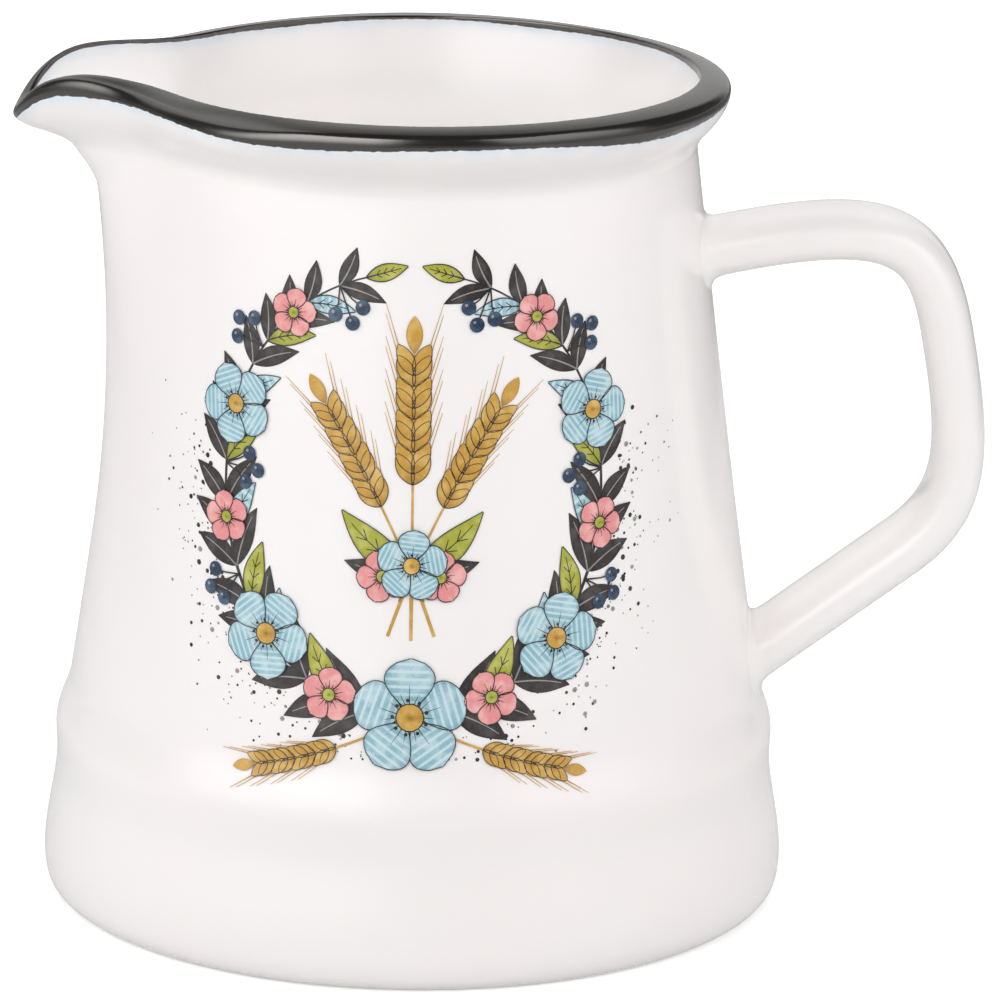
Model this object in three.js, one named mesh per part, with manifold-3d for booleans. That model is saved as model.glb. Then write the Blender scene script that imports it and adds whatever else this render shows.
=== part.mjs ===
// A glazed ceramic milk jug: a slip-cast body with a pulled spout, a black-glazed rim round its lip,
// and a strap handle stuck on with slip. Millimetres, +Z up. The jug stands on z = 0 with its axis
// on Z. The handle points along +X and the spout along -X.
import * as THREE from "three";
import { mergeVertices } from "three/addons/utils/BufferGeometryUtils.js";
import Module from "manifold-3d";

const wasm = await Module();
wasm.setup();

// Base: a flat foot ring round a shallow recess, a rounded heel, and a tapered skirt under a soft bead
const baseRadius = 48.35; // at the widest, just above the heel
const heelHeight = 5;
const heelInset = 3.7; // from the widest radius in to the edge of the foot ring
const heelFullness = 0.75; // how square the heel is: 0 is a straight chamfer, 1 a sharp corner
const footRingWidth = 5.6;
const recessDepth = 0.8;
const recessStep = 0.9; // radial run of the step from the foot ring up into the recess
const skirtHeight = 13.6; // from the heel's widest point up to the foot of the bead
const skirtTaper = 1.65; // radius lost over the skirt
const beadHeight = 3.1;
const beadProud = 0.12;
const shoulderHeight = 7; // from the crown of the bead up to the straight wall
const shoulderStep = 1.95; // radius lost over the shoulder

// Body: a nearly straight taper from the shoulder up to the neck
const rimHeight = 108.2;
const neckRadius = 35.45;
const lowerWallTaper = 0.155; // radius lost per unit of height, at the foot of the wall
const upperWallTaper = 0.12;
const wallThickness = 3.8;
const floorThickness = 4.6;
const floorFillet = 7;

// Lip: the neck turns out into a thick collar with a nearly flat top
const collarDepth = 8.1; // from the rim down to the corner between neck and collar
const collarProud = 4.25; // from the neck out to the widest point of the collar
const collarFillet = 1.4; // between neck and collar
const collarUnderside = 1.75; // radial run of the sloping underside before it turns up
const collarCrown = 1.6; // from the rim down to the widest point of the collar
const lipWidth = 4.4; // across the flat top
const lipRound = 1; // of the outer edge
const lipEdge = 0.6; // round of the inner edge
const lipCrown = 0.25; // how far the middle of the top stands above its edges
const innerFlare = 0.5; // radius gained per unit of height just inside the lip
const glazeOutside = 2.9; // how far the black glaze runs down from the rim, outside
const glazeInside = 1.3; // and inside
const seam = 0.3; // clearance between pieces that are bonded face to face

// Spout: the lip and the wall under it are drawn out in a beak, which rises at its sides and dips at its tip
const spoutPull = 12.7; // of the outer face at the lip
const throatPull = 6; // of the wall below the beak
const lipThinning = 3.3; // further pull of the inner edge, which leaves a thin tip
const spoutAngle = THREE.MathUtils.degToRad(15); // half angle of the beak at the lip
const throatAngle = THREE.MathUtils.degToRad(27); // half angle of the bulge low on the wall
const spoutSharpness = 1.65;
const throatNarrowing = 0.3; // share of the way up the throat where it starts to narrow into the beak
const throatDepth = 63; // from the rim down to where the pull begins
const beakDepth = 15.2; // from the rim down to where the beak begins
const beakFull = 4.4; // from the rim down to where the beak has its full pull
const droopDepth = 11.2; // from the rim down to where the rise and dip begin
const sideRise = 1.5;
const sideAngle = THREE.MathUtils.degToRad(25);
const tipDip = 6.1;
const tipAngle = THREE.MathUtils.degToRad(7.1);

// Handle: a flat strap that leaves the wall under the collar, turns down the grip and comes straight back
const strapThickness = 6.7;
const strapWidth = 15.5;
const strapSquareness = 2.4; // exponent of the section: 2 is an ellipse, more is squarer
const upperRootDrop = 22.8; // from the rim down to where the strap's centre line meets the wall
const lowerRootHeight = 31.9;
const fingerGap = 26.5; // from the wall out to the inside of the grip
const gripHeight = 75; // top of the grip's straight stretch
const upperArmRise = THREE.MathUtils.degToRad(13);
const gripLean = THREE.MathUtils.degToRad(11.2); // the grip leans out on its way down
const lowerArmRise = THREE.MathUtils.degToRad(36.8);
const upperArmReach = 24.6;
const upperBendReach = 13;
const gripReach = 17;
const lowerBendReach = 10.2;
const lowerArmLength = 23.2;
const slipFillet = 1.6; // radius of the slip worked round each root
const upperSlipLength = 2.8; // of slip between wall and strap, along the centre line
const lowerSlipLength = 5.4;
const slipBite = 6; // how far a slip joint runs into the wall before it is cut back to it

// Fineness of the facets
const turnSteps = 72;
const wallSteps = 11;
const bendSteps = 4;
const lipSteps = 2;
const strapSides = 20;
const strapSteps = 40;
const slipSteps = 10;
const spoutCrowding = 0.6; // share by which the turning steps close up at the spout
const weld = 1e-3; // vertices closer than this are one
const neckCrowding = 1.6; // exponent by which the steps up the wall close up at the neck

const collarRadius = neckRadius + collarProud;
const collarCorner = rimHeight - collarDepth;
const lipRadius = collarRadius - lipWidth;

const point = (r, z) => new THREE.Vector2(r, z);
const bend = (...corners) =>
  corners.length === 3 ? new THREE.QuadraticBezierCurve(...corners) : new THREE.CubicBezierCurve(...corners);

// How the steps along a curve are spaced: evenly, or crowded at one end.
const evenly = (t) => t;
const crowdedEnd = (t) => 1 - Math.pow(1 - t, neckCrowding);
const crowdedStart = (t) => Math.pow(t, neckCrowding);

// Points along curves that follow on from each other. An entry is a curve, its steps and their spacing.
function chain(...stretches) {
  return stretches.flatMap(([curve, steps, spacing = evenly], i) => {
    const points = Array.from({ length: steps + 1 }, (_, k) => curve.getPoint(spacing(k / steps)));
    return points.slice(i > 0 ? 1 : 0);
  });
}

// Cuts a run of points in two at a height, with the cut point in both.
function splitAt(points, z) {
  const above = points.findIndex((p) => p.y >= z);
  const share = THREE.MathUtils.inverseLerp(points[above - 1].y, points[above].y, z);
  const cut = points[above - 1].clone().lerp(points[above], share);
  return [[...points.slice(0, above), cut], [cut, ...points.slice(above)]];
}

// The outside of the wall, from the edge of the foot ring up to the foot of the collar.
function outerWall() {
  const foot = point(baseRadius - heelInset, 0);
  const heel = point(baseRadius, heelHeight);
  const skirtTop = point(baseRadius - skirtTaper, heelHeight + skirtHeight);
  const bead = point(skirtTop.x + beadProud, skirtTop.y + beadHeight);
  const wallFoot = point(bead.x - shoulderStep, bead.y + shoulderHeight);
  const neck = point(neckRadius, collarCorner - collarFillet);
  const skirtThird = skirtHeight / 3;
  const shoulderThird = shoulderHeight / 3;
  const wallThird = (neck.y - wallFoot.y) / 3;
  const heelCurve = bend(
    foot,
    point(foot.x + heelInset * heelFullness, 0),
    point(heel.x, heelHeight * (1 - heelFullness)),
    heel,
  );
  const skirtCurve = bend(
    heel,
    point(heel.x, heel.y + skirtThird),
    point(skirtTop.x, skirtTop.y - skirtThird),
    skirtTop,
  );
  const shoulderCurve = bend(
    bead,
    point(bead.x, bead.y + shoulderThird),
    point(wallFoot.x + shoulderThird * lowerWallTaper, wallFoot.y - shoulderThird),
    wallFoot,
  );
  const wallCurve = bend(
    wallFoot,
    point(wallFoot.x - wallThird * lowerWallTaper, wallFoot.y + wallThird),
    point(neck.x + wallThird * upperWallTaper, neck.y - wallThird),
    neck,
  );
  return chain(
    [heelCurve, bendSteps],
    [skirtCurve, bendSteps],
    [new THREE.LineCurve(skirtTop, bead), 1],
    [shoulderCurve, bendSteps],
    [wallCurve, wallSteps, crowdedEnd],
  );
}

// The collar's outside, from the neck to its widest point.
function collarOutside() {
  const neck = point(neckRadius, collarCorner - collarFillet);
  const underside = point(neckRadius + collarUnderside, collarCorner + collarUnderside);
  const widest = point(collarRadius, rimHeight - collarCrown);
  return chain(
    [bend(neck, point(neckRadius, collarCorner), underside), bendSteps],
    [bend(underside, point(collarRadius, collarCorner + collarProud), widest), bendSteps],
  );
}

// The lip's top, from the collar's widest point over to the inner edge and down to where the black glaze ends.
function lipTop() {
  const widest = point(collarRadius, rimHeight - collarCrown);
  const outerEdge = point(collarRadius - lipRound, rimHeight);
  const innerEdge = point(lipRadius + lipEdge, rimHeight);
  const middle = point((outerEdge.x + innerEdge.x) / 2, rimHeight + lipCrown);
  const end = point(lipRadius - glazeInside * innerFlare, rimHeight - glazeInside);
  return chain(
    [bend(widest, point(collarRadius, rimHeight), outerEdge), bendSteps],
    [bend(outerEdge, middle, innerEdge), lipSteps],
    [bend(innerEdge, point(lipRadius, rimHeight), end), lipSteps],
  );
}

// The inside, from just under the black glaze down to the middle of the floor.
function innerWall(top) {
  const neck = point(neckRadius - wallThickness, collarCorner);
  const floorEdge = baseRadius - skirtTaper - wallThickness;
  const wallFoot = point(floorEdge, floorThickness + floorFillet);
  const floor = point(floorEdge - floorFillet, floorThickness);
  const flareThird = (top.y - neck.y) / 3;
  const flare = bend(
    top,
    point(top.x - flareThird * innerFlare, top.y - flareThird),
    point(neck.x - flareThird * upperWallTaper, neck.y + flareThird),
    neck,
  );
  return chain(
    [flare, bendSteps],
    [new THREE.LineCurve(neck, wallFoot), wallSteps, crowdedStart],
    [bend(wallFoot, point(floorEdge, floorThickness), floor), bendSteps],
    [new THREE.LineCurve(floor, point(0, floorThickness)), 1],
  );
}

const wall = outerWall();
const [collarWhite, collarBlack] = splitAt(collarOutside(), rimHeight - glazeOutside);
const lip = lipTop();

// Radius of the plain wall at a height, away from the spout.
function wallRadius(z) {
  const [below] = splitAt(wall, z);
  return below[below.length - 1].x;
}

// Where a point of the plain turned shape goes when the spout is drawn out. The turn is 0 at the spout.
function drawSpout(turn, r, z) {
  const { clamp, lerp, smoothstep } = THREE.MathUtils;
  const bell = (angle, power) => Math.exp(-Math.pow(Math.abs(turn) / angle, power));
  const throat = clamp((z - rimHeight + throatDepth) / (throatDepth - droopDepth), 0, 1);
  const beak = smoothstep(z, rimHeight - beakDepth, rimHeight - beakFull);
  const droop = smoothstep(z, rimHeight - droopDepth, rimHeight);
  const inward = clamp((collarRadius - r) / lipWidth, 0, 1);
  const pull = throatPull * throat * throat + (spoutPull - throatPull) * beak + lipThinning * inward * droop;
  const angle = lerp(throatAngle, spoutAngle, smoothstep(throat, throatNarrowing, 1));
  const shift = sideRise * bell(sideAngle, 2) - tipDip * bell(tipAngle, 2);
  return [r + pull * bell(angle, spoutSharpness), z + shift * droop];
}

// Turns a closed profile about Z, with its steps closed up at the spout, and draws out the spout.
function turned(profile) {
  const geometry = new THREE.LatheGeometry(profile, turnSteps);
  geometry.rotateX(Math.PI / 2);
  const places = geometry.getAttribute("position");
  for (let i = 0; i < places.count; i++) {
    const plain = Math.atan2(places.getY(i), -places.getX(i));
    const turn = plain - spoutCrowding * Math.sin(plain);
    const r = Math.hypot(places.getX(i), places.getY(i));
    const [reach, height] = r > 0 ? drawSpout(turn, r, places.getZ(i)) : [0, places.getZ(i)];
    places.setXYZ(i, -reach * Math.cos(turn), reach * Math.sin(turn), height);
  }
  return geometry;
}

// The body and the rim meet on a face that slants through the lip, from the collar's outside to its inside.
function bodyProfile() {
  const ringInside = wall[0].x - footRingWidth;
  const below = (p) => point(p.x, p.y - seam);
  return [
    point(0, recessDepth),
    point(ringInside - recessStep, recessDepth),
    point(ringInside, 0),
    ...wall,
    ...collarWhite.slice(1, -1),
    below(collarWhite[collarWhite.length - 1]),
    ...innerWall(below(lip[lip.length - 1])),
  ];
}

function rimProfile() {
  return [...collarBlack, ...lip.slice(1), collarBlack[0]];
}

// The strap's centre line lies in the XZ plane, from under the collar round to the wall above the shoulder.
function strapLine() {
  const at = (x, z) => new THREE.Vector3(x, 0, z);
  const along = (from, angle, length) =>
    at(from.x + length * Math.cos(angle), from.z + length * Math.sin(angle));
  const upperRootHeight = rimHeight - upperRootDrop;
  const upperRoot = at(wallRadius(upperRootHeight), upperRootHeight);
  const lowerRoot = at(wallRadius(lowerRootHeight), lowerRootHeight);
  const grip = at(wallRadius(gripHeight) + fingerGap + strapThickness / 2, gripHeight);
  const down = gripLean - Math.PI / 2;
  const elbow = along(lowerRoot, lowerArmRise, lowerArmLength);
  const line = new THREE.CurvePath();
  line.add(new THREE.CubicBezierCurve3(
    upperRoot,
    along(upperRoot, upperArmRise, upperArmReach),
    along(grip, down, -upperBendReach),
    grip,
  ));
  line.add(new THREE.CubicBezierCurve3(
    grip,
    along(grip, down, gripReach),
    along(elbow, lowerArmRise, lowerBendReach),
    elbow,
  ));
  line.add(new THREE.LineCurve3(elbow, lowerRoot));
  return line;
}

const centreLine = strapLine();
const strapLength = centreLine.getLength();

// A place and direction on the centre line, which runs on straight past its ends.
function strapStation(s) {
  const u = THREE.MathUtils.clamp(s / strapLength, 0, 1);
  const along = centreLine.getTangentAt(u);
  const place = centreLine.getPointAt(u).addScaledVector(along, s - u * strapLength);
  const outward = new THREE.Vector3(-along.z, 0, along.x);
  return { place, outward };
}

// How far the slip stands out round the strap at a clearance from the wall: a quarter round.
function slipOffset(clearance) {
  const rest = THREE.MathUtils.clamp(slipFillet - clearance, 0, slipFillet);
  return slipFillet - Math.sqrt(slipFillet * slipFillet - rest * rest);
}

// A length of strap from one station to another, swelling into the slip fillet where it comes near the wall.
function strapPiece(from, to, steps) {
  const geometry = new THREE.CylinderGeometry(1, 1, 1, strapSides, steps);
  const places = geometry.getAttribute("position");
  const squared = (v) => Math.sign(v) * Math.pow(Math.abs(v), 2 / strapSquareness);
  for (let i = 0; i < places.count; i++) {
    const { place, outward } = strapStation(THREE.MathUtils.lerp(from, to, 0.5 - places.getY(i)));
    const across = squared(places.getX(i));
    const thick = squared(places.getZ(i));
    const flat = place.clone().addScaledVector(outward, (thick * strapThickness) / 2);
    flat.y = (across * strapWidth) / 2;
    const swell = slipOffset(Math.hypot(flat.x, flat.y) - wallRadius(flat.z));
    flat.addScaledVector(outward, thick * swell);
    flat.y += across * swell;
    places.setXYZ(i, flat.x, flat.y, flat.z);
  }
  return geometry;
}

// Geometry to solid and back, for cuts.
function solid(geometry) {
  const bare = geometry.clone();
  bare.deleteAttribute("normal");
  bare.deleteAttribute("uv");
  const merged = mergeVertices(bare, weld);
  return new wasm.Manifold(
    new wasm.Mesh({
      numProp: 3,
      vertProperties: merged.getAttribute("position").array,
      triVerts: new Uint32Array(merged.index.array),
    }),
  );
}

function shell(cut) {
  const mesh = cut.getMesh();
  const geometry = new THREE.BufferGeometry();
  geometry.setAttribute("position", new THREE.BufferAttribute(mesh.vertProperties, 3));
  geometry.setIndex(new THREE.BufferAttribute(mesh.triVerts, 1));
  geometry.computeVertexNormals();
  return geometry;
}

// The plain wall filled in to the axis and grown by the seam, which the slip joints are cut back to.
function wallKeepOut() {
  const grown = wall.map((p) => point(p.x + seam, p.y));
  const last = grown[grown.length - 1];
  return solid(turned([point(0, 0), ...grown, point(0, last.y)]));
}

function slipJoint(from, to) {
  return shell(solid(strapPiece(from, to, slipSteps)).subtract(wallKeepOut()));
}

const whiteGlaze = new THREE.MeshStandardMaterial({ color: 0xf4f1ef, roughness: 0.12, metalness: 0 });
const blackGlaze = new THREE.MeshStandardMaterial({ color: 0x1c1b1a, roughness: 0.16, metalness: 0 });

const jug = new THREE.Group();

function addPiece(name, geometry, material) {
  const mesh = new THREE.Mesh(geometry, material.clone());
  mesh.name = name;
  jug.add(mesh);
}

const lowerSlipEnd = strapLength - lowerSlipLength;
addPiece("jug_body", turned(bodyProfile()), whiteGlaze);
addPiece("rim_band", turned(rimProfile()), blackGlaze);
addPiece("handle", strapPiece(upperSlipLength + seam, lowerSlipEnd - seam, strapSteps), whiteGlaze);
addPiece("upper_slip_joint", slipJoint(-slipBite, upperSlipLength), whiteGlaze);
addPiece("lower_slip_joint", slipJoint(lowerSlipEnd, strapLength + slipBite), whiteGlaze);

export default jug;
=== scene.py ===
import math

import bpy
import numpy as np
from mathutils import Matrix, Vector


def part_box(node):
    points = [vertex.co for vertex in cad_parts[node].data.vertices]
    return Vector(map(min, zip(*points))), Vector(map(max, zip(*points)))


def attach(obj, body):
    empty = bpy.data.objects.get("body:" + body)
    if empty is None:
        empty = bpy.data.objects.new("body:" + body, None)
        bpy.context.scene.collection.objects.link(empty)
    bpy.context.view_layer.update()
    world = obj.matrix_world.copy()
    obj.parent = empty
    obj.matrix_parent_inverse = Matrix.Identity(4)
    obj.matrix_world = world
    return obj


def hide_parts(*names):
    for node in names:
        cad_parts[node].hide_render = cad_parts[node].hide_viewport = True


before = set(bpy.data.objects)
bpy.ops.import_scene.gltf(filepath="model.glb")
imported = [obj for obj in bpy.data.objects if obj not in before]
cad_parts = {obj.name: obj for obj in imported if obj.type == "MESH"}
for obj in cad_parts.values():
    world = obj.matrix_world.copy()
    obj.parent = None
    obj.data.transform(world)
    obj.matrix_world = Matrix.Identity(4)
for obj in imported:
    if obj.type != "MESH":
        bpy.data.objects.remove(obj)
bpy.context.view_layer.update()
mm = 0.001  # shapes are worked out in millimetres and put down in metres
print("frame:", sorted(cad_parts))


# small helpers

def tone(red, green, blue):
    # a colour as a paint program shows it, to what a shader takes
    values = [c / 255 for c in (red, green, blue)]
    return tuple(v / 12.92 if v <= 0.04045 else ((v + 0.055) / 1.055) ** 2.4 for v in values) + (1.0,)


def smooth(value, low, high):
    t = np.clip((value - low) / (high - low), 0, 1)
    return t * t * (3 - 2 * t)


def curve(corners, steps, spacing=lambda t: t):
    t = spacing(np.linspace(0, 1, steps + 1))[:, None]
    points = [np.array(c, float) for c in corners]
    while len(points) > 1:
        points = [a * (1 - t) + b * t for a, b in zip(points, points[1:])]
    return points[0]


def chain(*stretches):
    return np.vstack([stretches[0]] + [s[1:] for s in stretches[1:]])


def wobble(turn, waves):
    # a steady hand-made unevenness round the jug: height, count and phase of each wave
    return sum(height * np.sin(count * turn + phase) for height, count, phase in waves)


def gridFaces(rows, columns, start=0, wrap=False):
    across = columns if wrap else columns - 1
    i, j = np.meshgrid(np.arange(rows - 1), np.arange(across), indexing="ij")
    a, b = i * columns + j, i * columns + (j + 1) % columns
    return (np.stack([a, b, b + columns, a + columns], -1).reshape(-1, 4) + start).tolist()


def addPiece(name, points, faces, materials, nodes=()):
    mesh = bpy.data.meshes.new(name)
    mesh.from_pydata((np.asarray(points) * mm).tolist(), [], faces)
    for material in materials:
        mesh.materials.append(material)
    mesh.shade_smooth()
    piece = bpy.data.objects.new(name, mesh)
    bpy.context.scene.collection.objects.link(piece)
    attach(piece, "root")
    if nodes:
        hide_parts(*nodes)
    print("piece:", name, len(mesh.vertices), "points")
    return piece


# node helpers

def newGroup(name, inputs, outputs):
    group = bpy.data.node_groups.new(name, "ShaderNodeTree")
    for label, kind, value in inputs:
        socket = group.interface.new_socket(label, in_out="INPUT", socket_type=kind)
        socket.default_value = value
    for label, kind in outputs:
        group.interface.new_socket(label, in_out="OUTPUT", socket_type=kind)
    return group, group.nodes.new("NodeGroupInput").outputs, group.nodes.new("NodeGroupOutput").inputs


def fill(tree, socket, value):
    if isinstance(value, bpy.types.NodeSocket):
        tree.links.new(value, socket)
    else:
        socket.default_value = value


def noise(tree, place, scale, detail=2.0, rough=0.5):
    node = tree.nodes.new("ShaderNodeTexNoise")
    fill(tree, node.inputs["Vector"], place)
    fill(tree, node.inputs["Scale"], scale)
    node.inputs["Detail"].default_value = detail
    node.inputs["Roughness"].default_value = rough
    return node.outputs["Fac"]


def ramp(tree, value, low, high, toLow=0.0, toHigh=1.0):
    node = tree.nodes.new("ShaderNodeMapRange")
    node.interpolation_type = "SMOOTHSTEP"
    labels = ("Value", "From Min", "From Max", "To Min", "To Max")
    for label, v in zip(labels, (value, low, high, toLow, toHigh)):
        fill(tree, node.inputs[label], v)
    return node.outputs["Result"]


def sums(tree, operation, a, b):
    node = tree.nodes.new("ShaderNodeMath")
    node.operation = operation
    fill(tree, node.inputs[0], a)
    fill(tree, node.inputs[1], b)
    return node.outputs[0]


def mixTone(tree, share, a, b):
    node = tree.nodes.new("ShaderNodeMix")
    node.data_type = "RGBA"
    fill(tree, node.inputs["Factor"], share)
    fill(tree, node.inputs["A"], a)
    fill(tree, node.inputs["B"], b)
    return node.outputs["Result"]


def objectPlace(tree):
    return tree.nodes.new("ShaderNodeTexCoord").outputs["Object"]


def attribute(tree, name):
    node = tree.nodes.new("ShaderNodeAttribute")
    node.attribute_name = name
    return node.outputs["Fac"]


def newMaterial(name, **sockets):
    material = bpy.data.materials.new(name)
    material.use_nodes = True
    shader = material.node_tree.nodes["Principled BSDF"]
    for label, value in sockets.items():
        shader.inputs[label.replace("_", " ")].default_value = value
    return material, material.node_tree, shader.inputs


def useGroup(tree, group, **values):
    node = tree.nodes.new("ShaderNodeGroup")
    node.node_tree = group
    for label, value in values.items():
        fill(tree, node.inputs[label.replace("_", " ")], value)
    return node.outputs


def bumped(tree, height, distance):
    node = tree.nodes.new("ShaderNodeBump")
    node.inputs["Strength"].default_value = 1.0
    node.inputs["Distance"].default_value = distance
    tree.links.new(height, node.inputs["Height"])
    return node.outputs["Normal"]


# the skin of a fired glaze: a slow ripple, a fine orange peel, a few pinholes

glazeLook = {
    "rippleScale": 28.0,
    "peelScale": 700.0,
    "pinholeScale": 150.0,
    "pinholeSize": (0.028, 0.012),
    "pinholeDepth": 0.5,
    "patchScale": 60.0,  # pinholes come in patches
    "patchShare": (0.62, 0.66),
    "wearScale": 90.0,
    "wear": 0.05,
}


def glazeSkinGroup():
    group, given, put = newGroup(
        "glaze skin",
        [("Peel", "NodeSocketFloat", 0.1), ("Shine", "NodeSocketFloat", 0.08)],
        [("Height", "NodeSocketFloat"), ("Roughness", "NodeSocketFloat"), ("Pinholes", "NodeSocketFloat")],
    )
    place = objectPlace(group)
    slow = noise(group, place, glazeLook["rippleScale"], 1.0)
    fine = sums(group, "MULTIPLY", noise(group, place, glazeLook["peelScale"], 2.0), given["Peel"])
    cells = group.nodes.new("ShaderNodeTexVoronoi")
    cells.inputs["Scale"].default_value = glazeLook["pinholeScale"]
    group.links.new(place, cells.inputs["Vector"])
    patch = ramp(group, noise(group, place, glazeLook["patchScale"], 1.0), *glazeLook["patchShare"])
    pit = sums(group, "MULTIPLY", ramp(group, cells.outputs["Distance"], *glazeLook["pinholeSize"]), patch)
    dent = sums(group, "MULTIPLY", pit, -glazeLook["pinholeDepth"])
    fill(group, put["Height"], sums(group, "ADD", sums(group, "ADD", slow, fine), dent))
    worn = ramp(group, noise(group, place, glazeLook["wearScale"], 4.0, 0.6), 0.35, 0.75, 0.0, glazeLook["wear"])
    fill(group, put["Roughness"], sums(group, "ADD", given["Shine"], worn))
    fill(group, put["Pinholes"], pit)
    return group


glazeSkin = glazeSkinGroup()

whiteGlaze = {
    "body": tone(245, 241, 240),
    "warm": tone(246, 240, 239),
    "cool": tone(243, 241, 240),
    "bleed": tone(214, 226, 236),
    "speck": tone(176, 168, 158),
    # greyer tone of the painted shade under the collar and just under the bead
    "paintedShade": tone(229, 230, 229),
    "driftScale": 22.0,
    "evenness": 0.55,  # how far the body's tone covers the drift from cool to warm
    "paintedShadeDepth": 0.7,
    "bleedScale": 260.0,
    "speckDepth": 0.5,
    "ior": 1.5,
    "peel": 0.05,
    "shine": 0.12,
    "bump": 0.00006,
}


def makeWhiteGlaze():
    material, tree, shader = newMaterial("white glaze", IOR=whiteGlaze["ior"])
    place = objectPlace(tree)
    skin = useGroup(tree, glazeSkin, Peel=whiteGlaze["peel"], Shine=whiteGlaze["shine"])
    drift = noise(tree, place, whiteGlaze["driftScale"], 3.0)
    colour = mixTone(tree, ramp(tree, drift, 0.35, 0.65), whiteGlaze["cool"], whiteGlaze["warm"])
    colour = mixTone(tree, whiteGlaze["evenness"], colour, whiteGlaze["body"])
    # painted shade: the wall is greyed in bands just under the bead and under the collar, where they shade it
    shadeShare = sums(tree, "MULTIPLY", attribute(tree, "paintedShadeBands"), whiteGlaze["paintedShadeDepth"])
    colour = mixTone(tree, shadeShare, colour, whiteGlaze["paintedShade"])
    # pale blue stain that crept out of the rim's glaze in the kiln
    uneven = ramp(tree, noise(tree, place, whiteGlaze["bleedScale"]), 0.2, 0.8, 0.4, 1.0)
    creep = sums(tree, "MULTIPLY", attribute(tree, "rimBleed"), uneven)
    colour = mixTone(tree, creep, colour, whiteGlaze["bleed"])
    specks = sums(tree, "MULTIPLY", skin["Pinholes"], whiteGlaze["speckDepth"])
    colour = mixTone(tree, specks, colour, whiteGlaze["speck"])
    fill(tree, shader["Base Color"], colour)
    fill(tree, shader["Roughness"], skin["Roughness"])
    fill(tree, shader["Normal"], bumped(tree, skin["Height"], whiteGlaze["bump"]))
    return material


blackGlaze = {
    "body": tone(27, 26, 25),
    "thin": tone(70, 72, 74),
    "edge": tone(112, 118, 124),
    "glint": (1.0, 0.96, 0.92, 1.0),
    "ior": 2.1,
    "streakScale": 420.0,
    "peel": 0.16,
    "shine": 0.14,
    "bump": 0.00008,
}


def makeBlackGlaze():
    material, tree, shader = newMaterial("black glaze", Specular_Tint=blackGlaze["glint"], IOR=blackGlaze["ior"])
    place = objectPlace(tree)
    skin = useGroup(tree, glazeSkin, Peel=blackGlaze["peel"], Shine=blackGlaze["shine"])
    streak = noise(tree, place, blackGlaze["streakScale"], 3.0, 0.6)
    thin = sums(tree, "MULTIPLY", attribute(tree, "rimThin"), ramp(tree, streak, 0.2, 0.8, 0.55, 1.2))
    colour = mixTone(tree, ramp(tree, thin, 0.25, 0.75), blackGlaze["body"], blackGlaze["thin"])
    colour = mixTone(tree, ramp(tree, thin, 0.8, 1.05), colour, blackGlaze["edge"])
    fill(tree, shader["Base Color"], colour)
    fill(tree, shader["Roughness"], skin["Roughness"])
    fill(tree, shader["Normal"], bumped(tree, skin["Height"], blackGlaze["bump"]))
    return material


bareClay = {
    "body": tone(226, 218, 206),
    "stain": tone(203, 192, 176),
    "gloss": 0.3,
    "grainScale": 900.0,
    "stainScale": 120.0,
    "bump": 0.00005,
}


def makeBareClay():
    material, tree, shader = newMaterial("bare clay", Specular_IOR_Level=bareClay["gloss"])
    place = objectPlace(tree)
    grain = noise(tree, place, bareClay["grainScale"], 4.0, 0.65)
    dirt = ramp(tree, noise(tree, place, bareClay["stainScale"], 3.0), 0.45, 0.7)
    fill(tree, shader["Base Color"], mixTone(tree, dirt, bareClay["body"], bareClay["stain"]))
    fill(tree, shader["Roughness"], ramp(tree, grain, 0.2, 0.8, 0.65, 0.9))
    fill(tree, shader["Normal"], bumped(tree, grain, bareClay["bump"]))
    return material


whiteGlazeMaterial = makeWhiteGlaze()
blackGlazeMaterial = makeBlackGlaze()
bareClayMaterial = makeBareClay()
print("glazes mixed")


# jug body: one casting from the foot ring up over the lip and down inside to the floor

jug = {
    "baseRadius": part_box("jug_body")[1].y / mm,
    "heelHeight": 5.0,
    "heelInset": 3.7,
    "heelFullness": 0.75,
    "footRingWidth": 5.6,
    "footRingSteps": 4,
    "recessDepth": 0.8,
    "recessStep": 0.9,
    "skirtHeight": 13.6,
    "skirtTaper": 1.65,
    "beadHeight": 3.1,
    "beadProud": 0.12,
    "shoulderHeight": 7.0,
    "shoulderStep": 1.95,
    "rimHeight": 108.31,
    "neckRadius": 35.45,
    "lowerWallTaper": 0.155,
    "upperWallTaper": 0.12,
    "wallThickness": 3.8,
    "throatRadius": 32.9,
    "throatHeight": 90.0,
    "floorThickness": 4.6,
    "floorFillet": 7.0,
    "collarDepth": 7.97,
    "collarProud": 4.2,
    "collarFillet": 1.4,
    "collarUnderside": 1.56,
    "lipWidth": 3.87,
    "lipEdge": 0.06,
    "lipFace": 0.87,  # from the lip's flat top out to its widest
    "lipRound": 0.335,
    "lipFall": [math.radians(t) for t in (1.9, 17.8, 50)],  # inner half, outer half and face
    "flareDepth": 0.9,
    "innerFlare": 0.05,  # inwards for each millimetre down, first inside the lip and then below it
    "neckFlare": 0.27,
    "squeeze": 0.15,
    "tilt": 0.16,  # the rim stands a little higher at the back
    "backLift": 0.4,  # and its outer edge is turned up there
    "backSpread": math.radians(32),
    "turns": 288,
    "spoutCrowding": 0.6,  # turning steps close up at the spout
    "neckCrowding": 1.5,  # and the wall's steps at the neck
    # painted shade on the wall, in bands just under the bead and under the collar: height, half its breadth and
    # how dark
    "shadeBands": [(17.5, 2.2, 0.2), (99.5, 1.8, 0.3)],
}

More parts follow.
